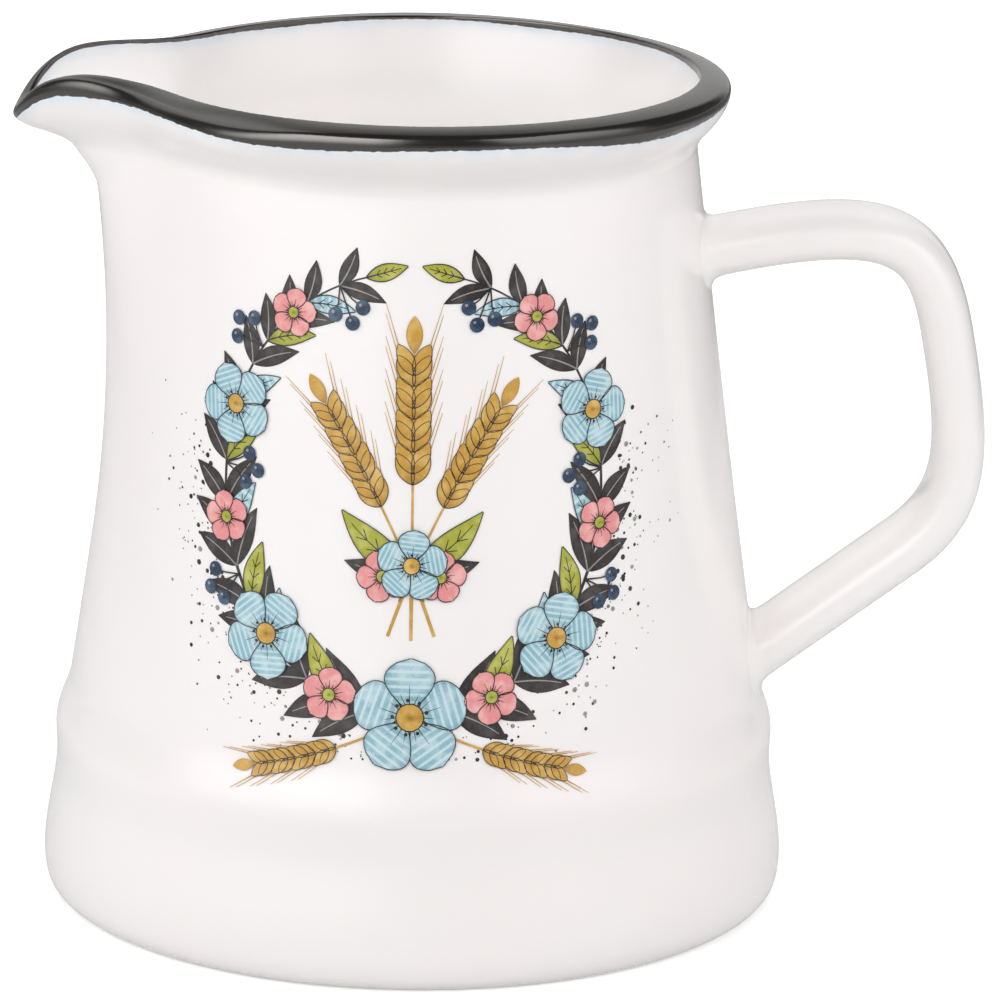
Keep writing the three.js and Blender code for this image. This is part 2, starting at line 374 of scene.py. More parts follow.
spout = {
    "pull": 12.67,
    "throatPull": 6.32,
    "angle": math.radians(16.5),
    "throatAngle": math.radians(27.1),
    "throatNarrowing": 0.3,
    "sharpness": 2.24,
    "throatDepth": 61.0,
    "beakDepth": 15.8,
    "beakFull": 2.95,
    "droopDepth": 11.1,
    "lipThinning": 1.75,
    "thinSkew": 0.9,  # the lip is thinned more on one side of the spout than on the other
    "skewAngle": math.radians(8),
    "lipLevel": 0.26,  # where it is thinned, it lies flatter
    "thinAngle": math.radians(23.2),
    "thinSharpness": 2.9,
    "sideRise": 1.26,
    "sideAngle": math.radians(23.2),
    "sideSharpness": 2.54,
    "tipDip": 6.17,
    "tipAngle": math.radians(8.16),
    "tipSharpness": 2.24,
    # the lip's outer edge is pressed down beside the spout, on one side only
    "press": 0.82,
    "pressAt": math.radians(-52.5),
    "pressSpread": math.radians(14.5),
}

collarRadius = jug["neckRadius"] + jug["collarProud"]
collarCorner = jug["rimHeight"] - jug["collarDepth"]
lipRadius = collarRadius - jug["lipWidth"]


def crowdedEnd(t):
    return 1 - (1 - t) ** jug["neckCrowding"]


def wallProfile():
    base, top = jug["baseRadius"], collarCorner - jug["collarFillet"]
    foot = (base - jug["heelInset"], 0)
    heel = (base, jug["heelHeight"])
    skirtTop = (base - jug["skirtTaper"], heel[1] + jug["skirtHeight"])
    bead = (skirtTop[0] + jug["beadProud"], skirtTop[1] + jug["beadHeight"])
    wallFoot = (bead[0] - jug["shoulderStep"], bead[1] + jug["shoulderHeight"])
    neck = (jug["neckRadius"], top)
    full, skirt, beadThird = jug["heelFullness"], jug["skirtHeight"] / 3, jug["beadHeight"] / 3
    shoulder, wall = jug["shoulderHeight"] / 3, (top - wallFoot[1]) / 3
    lean, upperLean = jug["lowerWallTaper"], jug["upperWallTaper"]
    return chain(
        curve([foot, (foot[0] + jug["heelInset"] * full, 0), (base, heel[1] * (1 - full)), heel], 14),
        curve([heel, (base, heel[1] + skirt), (skirtTop[0], skirtTop[1] - skirt), skirtTop], 16),
        curve([skirtTop, (skirtTop[0], skirtTop[1] + beadThird), (bead[0], bead[1] - beadThird), bead], 6),
        curve([bead, (bead[0], bead[1] + shoulder),
               (wallFoot[0] + shoulder * lean, wallFoot[1] - shoulder), wallFoot], 12),
        curve([wallFoot, (wallFoot[0] - wall * lean, wallFoot[1] + wall),
               (neck[0] + wall * upperLean, neck[1] - wall), neck], 44, crowdedEnd),
    )


def lipProfile():
    neck = (jug["neckRadius"], collarCorner - jug["collarFillet"])
    underside = (jug["neckRadius"] + jug["collarUnderside"], collarCorner + jug["collarUnderside"])
    falling = [np.array([math.cos(t), -math.sin(t)]) for t in jug["lipFall"]]
    inner = np.array([lipRadius + jug["lipEdge"], jug["rimHeight"]])
    half = (collarRadius - jug["lipFace"] - inner[0]) / 2
    middle = inner + falling[0] * half / falling[0][0]
    outer = middle + falling[1] * half / falling[1][0]
    corner = outer + falling[1] * jug["lipRound"]
    face = corner + falling[2] * jug["lipRound"]
    run = (collarRadius - face[0]) / falling[2][0]
    bend = face + falling[2] * run
    widest = (collarRadius, bend[1] - run)
    innerCorner = inner - falling[0] * jug["lipEdge"] / falling[0][0]
    end = (innerCorner[0] - jug["flareDepth"] * jug["innerFlare"], innerCorner[1] - jug["flareDepth"])
    throat = (jug["throatRadius"], jug["throatHeight"])
    third = (end[1] - throat[1]) / 3
    return chain(
        curve([neck, (jug["neckRadius"], collarCorner), underside], 8),
        curve([underside, (collarRadius, collarCorner + jug["collarProud"]), widest], 14),
        curve([widest, bend, face], 12),
        curve([face, corner, outer], 8),
        curve([outer, middle, inner], 10),
        curve([inner, innerCorner, end], 10),
        curve([end, (end[0] - third * jug["neckFlare"], end[1] - third),
               (throat[0], throat[1] + third), throat], 20),
    )


def insideProfile(top):
    edge = jug["baseRadius"] - jug["skirtTaper"] - jug["wallThickness"]
    floor = jug["floorThickness"]
    foot = (edge, floor + jug["floorFillet"])
    flat = (edge - jug["floorFillet"], floor)
    drop = (top[1] - foot[1]) / 3
    return chain(
        curve([top, (top[0], top[1] - drop),
               (foot[0] - drop * jug["lowerWallTaper"], foot[1] + drop), foot], 36),
        curve([foot, (edge, floor), flat], 12),
        curve([flat, (0, floor)], 8),
    )


def undersideProfile():
    ring = jug["baseRadius"] - jug["heelInset"] - jug["footRingWidth"]
    panel, deep = ring - jug["recessStep"], jug["recessDepth"]
    return chain(
        curve([(0, deep), (panel, deep)], 6),
        curve([(panel, deep), (panel + jug["recessStep"] / 2, deep), (ring, 0)], 4),
        curve([(ring, 0), (jug["baseRadius"] - jug["heelInset"], 0)], jug["footRingSteps"]),
    )


wallLine = wallProfile()
lipLine = lipProfile()


def drawSpout(turn, r, z):
    # turn is 0 at the spout; the lip and the wall under it are drawn out there
    top = jug["rimHeight"]
    bell = lambda angle, power: np.exp(-(np.abs(turn) / angle) ** power)
    throat = np.clip((z - top + spout["throatDepth"]) / (spout["throatDepth"] - spout["droopDepth"]), 0, 1)
    beak = smooth(z, top - spout["beakDepth"], top - spout["beakFull"])
    droop = smooth(z, top - spout["droopDepth"], top)
    inward = np.clip((collarRadius - r) / jug["lipWidth"], 0, 1)
    onTop = np.clip((collarRadius - jug["lipFace"] - r) / (jug["lipWidth"] - jug["lipFace"]), 0, 1)
    thinned = bell(spout["thinAngle"], spout["thinSharpness"])
    share = smooth(throat, spout["throatNarrowing"], 1)
    angle = spout["throatAngle"] + (spout["angle"] - spout["throatAngle"]) * share
    pull = spout["throatPull"] * throat ** 2 + (spout["pull"] - spout["throatPull"]) * beak
    pull = pull * bell(angle, spout["sharpness"])
    thinning = spout["lipThinning"] + spout["thinSkew"] * np.tanh(turn / spout["skewAngle"])
    pull = pull + thinning * onTop * droop * thinned
    pull = pull - jug["squeeze"] * droop * np.cos(turn) ** 2
    shift = spout["sideRise"] * bell(spout["sideAngle"], spout["sideSharpness"])
    shift = shift - spout["tipDip"] * bell(spout["tipAngle"], spout["tipSharpness"])
    shift = shift + spout["lipLevel"] * (1 - onTop) * thinned
    pressed = np.exp(-((turn - spout["pressAt"]) / spout["pressSpread"]) ** 2)
    shift = shift - spout["press"] * (1 - inward) * pressed + jug["tilt"] * np.sin(turn)
    atBack = np.exp(-((turn - math.pi / 2) / jug["backSpread"]) ** 2)
    shift = shift + jug["backLift"] * (1 - onTop) ** 2 * atBack
    return r + np.where(r > 0, pull, 0), z + shift * droop


def jugPlace(turn, r, z):
    reach, height = drawSpout(turn, r, z)
    return np.stack(np.broadcast_arrays(-reach * np.cos(turn), reach * np.sin(turn), height), -1)


def jugTurns(count):
    even = np.linspace(-math.pi, math.pi, count, endpoint=False)
    return even - jug["spoutCrowding"] * np.sin(even)


def wallRadius(z):
    return np.interp(z, wallLine[:, 1], wallLine[:, 0])


# the black glaze's two edges, in millimetres down from the rim, uneven as a brush leaves them
rimGlaze = {
    "outsideDrop": 2.45,
    "handleDrop": 0.36,  # it runs further down on the handle's side
    "handleSpread": math.radians(61),
    "insideDrop": 0.69,
    "spoutInside": 0.25,  # less far in at the spout
    "spoutSpread": math.radians(30),
    "handleInside": 0.3,  # further in on the handle's side
    "handleInsideSpread": math.radians(24),
    "lift": 0.06,
    "sink": 0.01,  # its two edges lie just under the white
    "taper": 0.6,  # how far in from an edge the glaze has its full thickness
    "thinReach": 0.21,  # and how far in it is pale
    "steps": 48,
    "outsideWaves": [
        (0.285, 3, 1.65), (0.48, 5, 1.44), (0.05, 11, 2.1), (0.03, 43, 1.2),
        (0.03, 97, 0.3), (0.03, 173, 2.6), (0.02, 251, 1.1),
    ],
    "insideWaves": [
        (0.11, 3, 0.13), (0.12, 6, 1.57), (0.03, 13, 0.6),
        (0.02, 47, 2.2), (0.02, 103, 0.9), (0.015, 181, 1.7),
    ],
    "bleedReach": 0.8,
}

lipTravel = np.concatenate([[0], np.cumsum(np.hypot(*np.diff(lipLine, axis=0).T))])
lipCrest = int(np.argmax(lipLine[:, 1]))


def glazeEdges(turn):
    # how far along the lip line the black starts outside and ends inside
    away = np.abs(np.abs(turn) - math.pi)
    drop = rimGlaze["outsideDrop"] + rimGlaze["handleDrop"] * np.exp(-(away / rimGlaze["handleSpread"]) ** 2)
    outside = jug["rimHeight"] - drop - wobble(turn, rimGlaze["outsideWaves"])
    lap = rimGlaze["insideDrop"] - rimGlaze["spoutInside"] * np.exp(-(turn / rimGlaze["spoutSpread"]) ** 2)
    lap = lap + rimGlaze["handleInside"] * np.exp(-(away / rimGlaze["handleInsideSpread"]) ** 2)
    inside = jug["rimHeight"] - lap - wobble(turn, rimGlaze["insideWaves"])
    start = np.interp(outside, lipLine[:lipCrest, 1], lipTravel[:lipCrest])
    end = np.interp(-inside, -lipLine[lipCrest:, 1], lipTravel[lipCrest:])
    return start, end


def makeJugBody():
    under, inside = undersideProfile(), insideProfile(lipLine[-1])
    profile = chain(under, wallLine, lipLine, inside)
    turn = jugTurns(jug["turns"])
    points = jugPlace(turn[None, :], profile[:, :1], profile[:, 1:])
    rows, columns = points.shape[:2]
    piece = addPiece(
        "jug_casting",
        points.reshape(-1, 3),
        gridFaces(rows, columns, wrap=True),
        [whiteGlazeMaterial, bareClayMaterial],
        ["jug_body"],
    )
    bare = np.zeros(rows - 1, np.int32)
    bare[len(under) - 1 - jug["footRingSteps"]:len(under) - 1] = 1
    piece.data.polygons.foreach_set("material_index", np.repeat(bare, columns))
    # stain beside the black edge, and painted shade in bands on the wall just under the bead and under the
    # collar
    lipStart, farOff = len(under) + len(wallLine) - 2, 1e3
    travel = np.full(rows, -farOff)
    travel[lipStart:lipStart + len(lipLine)] = lipTravel
    travel[lipStart + len(lipLine):] = farOff
    start, end = glazeEdges(turn)
    gap = np.maximum(start[None, :] - travel[:, None], travel[:, None] - end[None, :])
    bleed = np.exp(-np.clip(gap, 0, None) / rimGlaze["bleedReach"])
    paintedShade = sum(depth * np.exp(-((profile[:, 1] - at) / half) ** 2) for at, half, depth in jug["shadeBands"])
    for label, values in (("rimBleed", bleed), ("paintedShadeBands", np.repeat(paintedShade[:, None], columns, 1))):
        layer = piece.data.attributes.new(label, "FLOAT", "POINT")
        layer.data.foreach_set("value", values.astype(np.float32).ravel())
    return piece


def makeRimBand():
    # a coat of glaze over the lip, full in the middle and thinning to its two brushed edges
    turn = jugTurns(4 * jug["turns"])
    start, end = glazeEdges(turn)
    share = np.linspace(0, 1, rimGlaze["steps"])[:, None]
    along = start + (end - start) * share
    r = np.interp(along, lipTravel, lipLine[:, 0])
    z = np.interp(along, lipTravel, lipLine[:, 1])
    slope = np.gradient(lipLine, lipTravel, axis=0)
    outR = np.interp(along, lipTravel, slope[:, 1])
    outZ = -np.interp(along, lipTravel, slope[:, 0])
    size = np.hypot(outR, outZ)
    inset = np.minimum(along - start, end - along)
    lift = rimGlaze["lift"] * np.sqrt(np.clip(inset / rimGlaze["taper"], 0, 1)) - rimGlaze["sink"]
    points = jugPlace(turn[None, :], r + lift * outR / size, z + lift * outZ / size)
    piece = addPiece(
        "rim_glaze",
        points.reshape(-1, 3),
        gridFaces(len(points), len(turn), wrap=True),
        [blackGlazeMaterial],
        ["rim_band"],
    )
    thin = np.exp(-inset / rimGlaze["thinReach"])
    layer = piece.data.attributes.new("rimThin", "FLOAT", "POINT")
    layer.data.foreach_set("value", thin.astype(np.float32).ravel())
    return piece


makeJugBody()
makeRimBand()


# strap handle: one pulled strap, its two roots worked out onto the wall with slip

strap = {
    "thickness": 6.7,
    "width": 15.5,
    "squareness": 2.6,
    "upperRoot": jug["rimHeight"] - 22.8,
    "lowerRoot": 31.9,
    "fingerGap": 26.5,
    "gripHeight": 75.0,
    "upperArmRise": math.radians(13),
    "gripLean": math.radians(11.2),
    "lowerArmRise": math.radians(36.8),
    "upperArmReach": 24.6,
    "upperBendReach": 13.0,
    "gripReach": 17.0,
    "lowerBendReach": 10.2,
    "lowerArmLength": 23.2,
    "upperFillet": 2.3,
    "lowerFillet": 2.5,
    "filletSteps": 9,
    "filletSink": 0.02,
    "rootSearch": 14.0,  # how far to either side of its end a line of the strap may meet the wall
    "rootHalvings": 40,
    "sides": 56,
    "stations": 120,
}


def strapLine():
    def along(start, angle, length):
        return start + length * np.array([math.cos(angle), math.sin(angle)])

    upper = np.array([wallRadius(strap["upperRoot"]), strap["upperRoot"]])
    lower = np.array([wallRadius(strap["lowerRoot"]), strap["lowerRoot"]])
    grip = np.array([
        wallRadius(strap["gripHeight"]) + strap["fingerGap"] + strap["thickness"] / 2, strap["gripHeight"]
    ])
    down = strap["gripLean"] - math.pi / 2
    elbow = along(lower, strap["lowerArmRise"], strap["lowerArmLength"])
    return chain(
        curve([upper, along(upper, strap["upperArmRise"], strap["upperArmReach"]),
               along(grip, down, -strap["upperBendReach"]), grip], 200),
        curve([grip, along(grip, down, strap["gripReach"]),
               along(elbow, strap["lowerArmRise"], strap["lowerBendReach"]), elbow], 200),
        curve([elbow, lower], 100),
    )


centreLine = strapLine()
strapTravel = np.concatenate([[0], np.cumsum(np.hypot(*np.diff(centreLine, axis=0).T))])
strapSlope = np.gradient(centreLine, strapTravel, axis=0)
strapLength = strapTravel[-1]


def strapPlace(s, side):
    # a point on the strap's skin; the centre line runs on straight past its ends
    held = np.clip(s, 0, strapLength)
    x, z = (np.interp(held, strapTravel, centreLine[:, k]) for k in (0, 1))
    dx, dz = (np.interp(held, strapTravel, strapSlope[:, k]) for k in (0, 1))
    size = np.hypot(dx, dz)
    dx, dz = dx / size, dz / size
    squared = lambda v: np.sign(v) * np.abs(v) ** (2 / strap["squareness"])
    depth = squared(np.cos(side)) * strap["thickness"] / 2
    x = x + dx * (s - held) - dz * depth
    z = z + dz * (s - held) + dx * depth
    y = squared(np.sin(side)) * strap["width"] / 2 + 0 * x
    return np.stack([x, y, z], -1)


def wallGap(points):
    return np.hypot(points[..., 0], points[..., 1]) - wallRadius(points[..., 2])


def rootRows(end, inward, fillet):
    # from the wall out to the plain strap: where each line of the skin meets the wall, and a fillet there
    side = np.linspace(0, 2 * math.pi, strap["sides"], endpoint=False)
    low, high = (np.full(len(side), end + way * strap["rootSearch"] * inward) for way in (-1, 1))
    for _ in range(strap["rootHalvings"]):
        middle = (low + high) / 2
        outside = wallGap(strapPlace(middle, side)) > 0
        low, high = np.where(outside, low, middle), np.where(outside, middle, high)
    meet = (low + high) / 2
    corner = strapPlace(meet, side)
    centre = corner.mean(0)
    normal = corner * [1, 1, 0]
    normal = normal / np.linalg.norm(normal, axis=1, keepdims=True)
    away = corner - centre
    away = away - normal * (away * normal).sum(1, keepdims=True)
    away = away / np.linalg.norm(away, axis=1, keepdims=True)
    spread = corner + fillet * away
    toWall = (wallRadius(spread[:, 2]) - strap["filletSink"]) / np.hypot(spread[:, 0], spread[:, 1])
    spread[:, :2] = spread[:, :2] * toWall[:, None]
    lift = strapPlace(meet + fillet * inward, side)
    t = np.linspace(0, 1, strap["filletSteps"])[:, None, None]
    return (1 - t) ** 2 * spread + 2 * t * (1 - t) * corner + t ** 2 * lift, meet + fillet * inward


def makeHandle():
    side = np.linspace(0, 2 * math.pi, strap["sides"], endpoint=False)
    upper, upperStart = rootRows(0, 1, strap["upperFillet"])
    lower, lowerStart = rootRows(strapLength, -1, strap["lowerFillet"])
    share = np.linspace(0, 1, strap["stations"])[1:-1, None]
    middle = strapPlace(upperStart + (lowerStart - upperStart) * share, side)
    points = np.concatenate([upper, middle, lower[::-1]])
    return addPiece(
        "strap_handle",
        points.reshape(-1, 3),
        [face[::-1] for face in gridFaces(len(points), strap["sides"], wrap=True)],
        [whiteGlazeMaterial],
        ["handle", "upper_slip_joint", "lower_slip_joint"],
    )


makeHandle()


# print: a wreath of garden flowers and wheat fired onto the front of the wall

printPlace = {"across": -0.5, "height": 62.5, "lift": 0.02, "layer": 0.012}


def wallSkin(across, height):
    # across is measured round the wall from the middle of the front
    radius = wallRadius(height)
    return jugPlace(-(math.pi / 2 + across / radius), radius, height)


def onWall(flat, layer):
    across, height = flat[..., 0] + printPlace["across"], flat[..., 1] + printPlace["height"]
    step = 0.05
    right = wallSkin(across + step, height) - wallSkin(across - step, height)
    up = wallSkin(across, height + step) - wallSkin(across, height - step)
    out = np.cross(right, up)
    out = out / np.linalg.norm(out, axis=-1, keepdims=True)
    return wallSkin(across, height) + out * (printPlace["lift"] + layer * printPlace["layer"])


inks = {
    "charcoal": {"ink": tone(56, 52, 51), "light": tone(92, 88, 86), "deep": tone(38, 35, 35)},
    "grey": {"ink": tone(150, 148, 146), "light": tone(176, 174, 172), "deep": tone(116, 114, 113)},
    "blue": {"ink": tone(141, 184, 198), "light": tone(205, 226, 231), "deep": tone(92, 142, 160), "band": 7.0},
    "green": {"ink": tone(166, 168, 62), "light": tone(203, 201, 112), "deep": tone(112, 118, 38)},
    "ochre": {"ink": tone(198, 153, 70), "light": tone(226, 192, 118), "deep": tone(148, 104, 38)},
    "navy": {"ink": tone(46, 64, 86), "light": tone(98, 120, 142), "deep": tone(30, 42, 58)},
    "pink": {"ink": tone(227, 146, 146), "light": tone(243, 196, 190), "deep": tone(196, 92, 100)},
}
patches = {name: {"points": [], "faces": [], "spots": [], "count": 0} for name in inks}

# widths of the drawn lines
pen = {
    "outline": 0.16,
    "petalEdge": 0.15,
    "petalLine": 0.14,
    "grainEdge": 0.11,
    "vein": 0.2,
    "sideVein": 0.12,
    "paleVein": 0.22,
    "berryStalk": 0.2,
    "wheatStalk": 0.34,
    "awn": 0.13,
    "stem": 0.5,
    "twig": 0.6,
}


def addPatch(ink, grid, layer):
    store = patches[ink]
    rows, columns = grid.shape[:2]
    store["points"].append(onWall(grid, layer).reshape(-1, 3))
    store["faces"] += gridFaces(rows, columns, store["count"])
    along, across = np.meshgrid(np.linspace(0, 1, rows), np.linspace(0, 1, columns), indexing="ij")
    store["spots"].append(np.stack([along, across], -1).reshape(-1, 2))
    store["count"] += rows * columns


def heading(angle):
    return np.array([math.cos(angle), math.sin(angle)])


def blade(base, angle, length, width, bow=0.0, belly=0.45, full=1.0, rows=13, columns=5):
    # a leaf, petal or grain: widest at belly, blunter the smaller full is
    t = np.linspace(0, 1, rows)[:, None]
    ahead, left = heading(angle), heading(angle + math.pi / 2)
    middle = np.asarray(base) + ahead * t * length + left * bow * length * 4 * t * (1 - t)
    half = width / 2 * np.sin(math.pi * t ** (math.log(0.5) / math.log(belly))).clip(0) ** full + 0.05
    across = np.linspace(1, -1, columns)[None, :, None]
    return middle[:, None] + left * across * half[:, :, None]


def stroke(points, width, tip=1.0):
    points = np.asarray(points, float)
    ahead = np.gradient(points, axis=0)
    ahead = ahead / np.linalg.norm(ahead, axis=1, keepdims=True)
    left = np.stack([-ahead[:, 1], ahead[:, 0]], -1)
    half = (width / 2 * np.linspace(1, tip, len(points)))[:, None]
    return np.stack([points + left * half, points - left * half], 1)


def disc(middle, radius, rows=3, columns=15):
    turn = np.linspace(2 * math.pi, 0, columns)
    reach = np.linspace(0.05, 1, rows)[:, None, None] * radius
    return np.asarray(middle) + reach * np.stack([np.cos(turn), np.sin(turn)], -1)[None]


def drawOutline(grid, layer, width=pen["outline"]):
    addPatch("charcoal", stroke(grid[:, 0], width, 0.8), layer)
    addPatch("charcoal", stroke(grid[:, -1], width, 0.8), layer)


def drawLeaf(base, angle, length, width, bow, ink, layer):
    leaf = blade(base, angle, length, width, bow)
    addPatch(ink, leaf, layer)
    vein = leaf[:-2, 2]
    if ink == "charcoal":
        addPatch("grey", stroke(vein, pen["paleVein"], 0.4), layer + 1)
        return
    drawOutline(leaf, layer + 1)
    addPatch("charcoal", stroke(vein, pen["vein"], 0.5), layer + 1)
    for k in (3, 5, 7):
        for edge in (1, 3):
            end = leaf[k + 1, edge] * 0.7 + leaf[k + 2, edge] * 0.3
            addPatch("charcoal", stroke([leaf[k, 2], end], pen["sideVein"]), layer + 1)


def drawBlossom(middle, size, turn, ink, heart, layer, petals=5):
    middle = np.asarray(middle)
    for k in range(petals):
        angle = turn + k * 2 * math.pi / petals
        petal = blade(middle + heading(angle) * size * 0.1, angle, size * 0.92, size * 0.86, 0.02, 0.62, 0.62)
        under = layer + 2 * (k % 2)
        addPatch(ink, petal, under)
        drawOutline(petal, under + 1, pen["petalEdge"])
        for side, rows in ((1, 5), (2, 7), (3, 5)):
            addPatch("charcoal", stroke(petal[1:rows, side], pen["petalLine"], 0.3), under + 1)
    addPatch(heart, disc(middle, size * 0.24), layer + 4)
    stamens = 9
    for k in range(stamens):
        angle = turn + k * 2 * math.pi / stamens
        addPatch("charcoal", disc(middle + heading(angle) * size * 0.3, 0.035 * size, 2, 8), layer + 5)
    addPatch("charcoal", stroke(disc(middle, size * 0.24)[-1], pen["petalLine"]), layer + 5)


def drawWheat(base, angle, length, bend, layer):
    t = np.linspace(0, 1, 24)[:, None]
    line = np.asarray(base) + heading(angle) * t * length + heading(angle + math.pi / 2) * bend * t ** 2
    addPatch("ochre", stroke(line, pen["wheatStalk"], 0.7), layer)
    # grains in pairs up the outer half of the stalk
    for k in range(8):
        spot = 11 + (12 * k) // 8
        at, ahead = line[spot], line[spot + 1] - line[spot - 1]
        lean = math.atan2(ahead[1], ahead[0])
        for side in (-1, 1):
            grain = blade(at, lean + side * 0.48, length * 0.14, length * 0.062, 0.0, 0.5, 0.8, 9, 3)
            addPatch("ochre", grain, layer + 1 + k % 2)
            drawOutline(grain, layer + 3, pen["grainEdge"])
            awn = [grain[-1, 1], grain[-1, 1] + heading(lean + side * 0.3) * length * 0.17]
            addPatch("ochre", stroke(awn, pen["awn"], 0.5), layer + 1)
    addPatch("ochre", blade(line[-1], lean, length * 0.15, length * 0.065, 0.0, 0.5, 0.8, 9, 3), layer + 2)


def drawBerries(base, angle, layer):
    for lean, reach in ((-0.5, 3.6), (0.0, 4.8), (0.5, 3.9)):
        end = np.asarray(base) + heading(angle + lean) * reach
        bend = (np.asarray(base) + end) / 2 + heading(angle) * 0.3
        addPatch("charcoal", stroke([base, bend, end], pen["berryStalk"]), layer)
        addPatch("navy", disc(end, 0.95), layer + 1)
        addPatch("grey", disc(end + np.array([-0.3, 0.32]), 0.2, 2, 8), layer + 2)


wreath = {
    "wide": 25.0,
    "tall": 27.5,
    "leaves": 17,
    "leafInks": ("charcoal", "green", "charcoal", "blue"),
    # where on the ring, in degrees from the right; size; turn; petals; middle
    "blossoms": [
        (270, 7.2, 0.3, "blue", "ochre"),
        (222, 5.6, 1.0, "blue", "ochre"),
        (318, 5.6, 0.1, "blue", "ochre"),
        (160, 5.0, 0.7, "blue", "ochre"),
        (20, 5.0, 1.3, "blue", "ochre"),
        (246, 3.4, 0.2, "pink", "green"),
        (294, 3.4, 0.8, "pink", "green"),
        (190, 3.2, 0.5, "pink", "green"),
        (350, 3.2, 1.1, "pink", "green"),
        (128, 3.0, 0.1, "pink", "green"),
        (52, 3.0, 0.9, "pink", "green"),
    ],
    "berries": [(205, 1), (335, 1), (176, -1), (4, -1), (142, 1), (38, 1), (112, -1), (68, -1)],
    "speckles": 520,
    "speckleSeed": 11,
    "speckleArc": (math.radians(165), math.radians(375)),
    "speckleFloor": -33.0,
}


def ringSpot(degrees):
    angle = math.radians(degrees)
    return np.array([wreath["wide"] * math.cos(angle), wreath["tall"] * math.sin(angle)])


def drawWreath():
    for side in (-1, 1):
        degrees = 270 + side * np.linspace(4, 166, 60)
        twig = np.array([ringSpot(d) for d in degrees])
        addPatch("charcoal", stroke(twig, pen["twig"], 0.35), 0)
        for k in range(wreath["leaves"]):
            spot = 3 + round(k * 56 / wreath["leaves"])
            ahead = twig[min(spot + 1, 59)] - twig[spot - 1]
            lean = math.atan2(ahead[1], ahead[0])
            size = 9.2 - 3.2 * k / wreath["leaves"]
            for hand in (-1, 1):
                length, ink = (size, wreath["leafInks"][k % 4]) if hand == side else (size * 0.86, "charcoal")
                drawLeaf(twig[spot], lean + hand * 0.72, length, size * 0.34, -0.05 * hand, ink, 2 + 4 * (k % 2))
        tip = twig[-1] - twig[-2]
        drawLeaf(twig[-1], math.atan2(tip[1], tip[0]), 5.4, 2.0, 0.0, "green", 6)
        drawWheat(ringSpot(270), math.radians(270 + side * 62), 21, side * 3.0, 11)
    for degrees, hand in wreath["berries"]:
        spot = ringSpot(degrees)
        drawBerries(spot, math.atan2(spot[1], spot[0]) + (0.0 if hand > 0 else math.pi), 12)
    for degrees, size, turn, ink, heart in wreath["blossoms"]:
        drawBlossom(ringSpot(degrees), size, turn, ink, heart, 18)


def drawSheaf():
    knot = np.array([0.0, -9.5])
    for angle, length, bend in ((112, 27, 2.6), (90, 31, 0.0), (68, 27, -2.6)):
        drawWheat(knot - heading(math.radians(angle)) * 4, math.radians(angle), length, bend, 4)
    for angle in (250, 270, 290):
        addPatch("ochre", stroke([knot, knot + heading(math.radians(angle)) * 8.5], pen["stem"], 0.8), 4)
    for hand in (-1, 1):
        drawLeaf(knot, math.radians(90 + hand * 50), 11.5, 3.6, 0.06 * hand, "green", 9)
        drawLeaf(knot, math.radians(90 + hand * 82), 8.5, 3.0, 0.06 * hand, "charcoal", 9)
        drawBlossom(knot + np.array([hand * 3.6, -0.6]), 3.2, 0.4 + hand, "pink", "green", 20)
    drawBlossom(knot + np.array([0, 0.8]), 4.4, 0.2, "blue", "ochre", 26)


def drawSpeckles():
    chance = np.random.RandomState(wreath["speckleSeed"])
    for _ in range(wreath["speckles"]):
        angle = chance.uniform(*wreath["speckleArc"])
        reach = 1.1 + abs(chance.normal(0, 0.17))
        spot = np.array([wreath["wide"] * math.cos(angle), wreath["tall"] * math.sin(angle)]) * reach
        if spot[1] > wreath["speckleFloor"]:
            ink = "charcoal" if chance.uniform() < 0.6 else "grey"
            addPatch(ink, disc(spot, 0.1 + 0.28 * chance.uniform() ** 3, 2, 7), 0)


def printInkGroup():
    group, given, put = newGroup(
        "print ink",
        [
            ("Ink", "NodeSocketColor", (0.5, 0.5, 0.5, 1)),
            ("Light", "NodeSocketColor", (0.7, 0.7, 0.7, 1)),
            ("Deep", "NodeSocketColor", (0.2, 0.2, 0.2, 1)),
            ("Bands", "NodeSocketFloat", 0.0),
        ],
        [("Color", "NodeSocketColor")],
    )
    place = objectPlace(group)
    spot = group.nodes.new("ShaderNodeSeparateXYZ")
    group.links.new(group.nodes.new("ShaderNodeTexCoord").outputs["UV"], spot.inputs[0])
    wash = ramp(group, noise(group, place, 520.0, 3.0), 0.4, 0.75, 0.0, 0.75)
    colour = mixTone(group, wash, given["Ink"], given["Light"])
    # pale stripes across a petal
    cycles = sums(group, "MULTIPLY", spot.outputs[0], given["Bands"])
    wave = sums(group, "SINE", sums(group, "MULTIPLY", cycles, 2 * math.pi), 0.0)
    striped = ramp(group, given["Bands"], 0.0, 1.0, 0.0, 0.8)
    stripe = sums(group, "MULTIPLY", ramp(group, wave, 0.1, 0.6), striped)
    colour = mixTone(group, stripe, colour, given["Light"])
    foot = ramp(group, spot.outputs[0], 0.45, 0.0, 0.0, 0.6)
    colour = mixTone(group, foot, colour, given["Deep"])
    edge = sums(group, "ABSOLUTE", sums(group, "SUBTRACT", spot.outputs[1], 0.5), 0.0)
    colour = mixTone(group, ramp(group, edge, 0.36, 0.5, 0.0, 0.4), colour, given["Deep"])
    grain = ramp(group, noise(group, place, 3200.0, 1.0), 0.55, 0.8, 0.0, 0.35)
    fill(group, put["Color"], mixTone(group, grain, colour, given["Light"]))
    return group


printInk = printInkGroup()


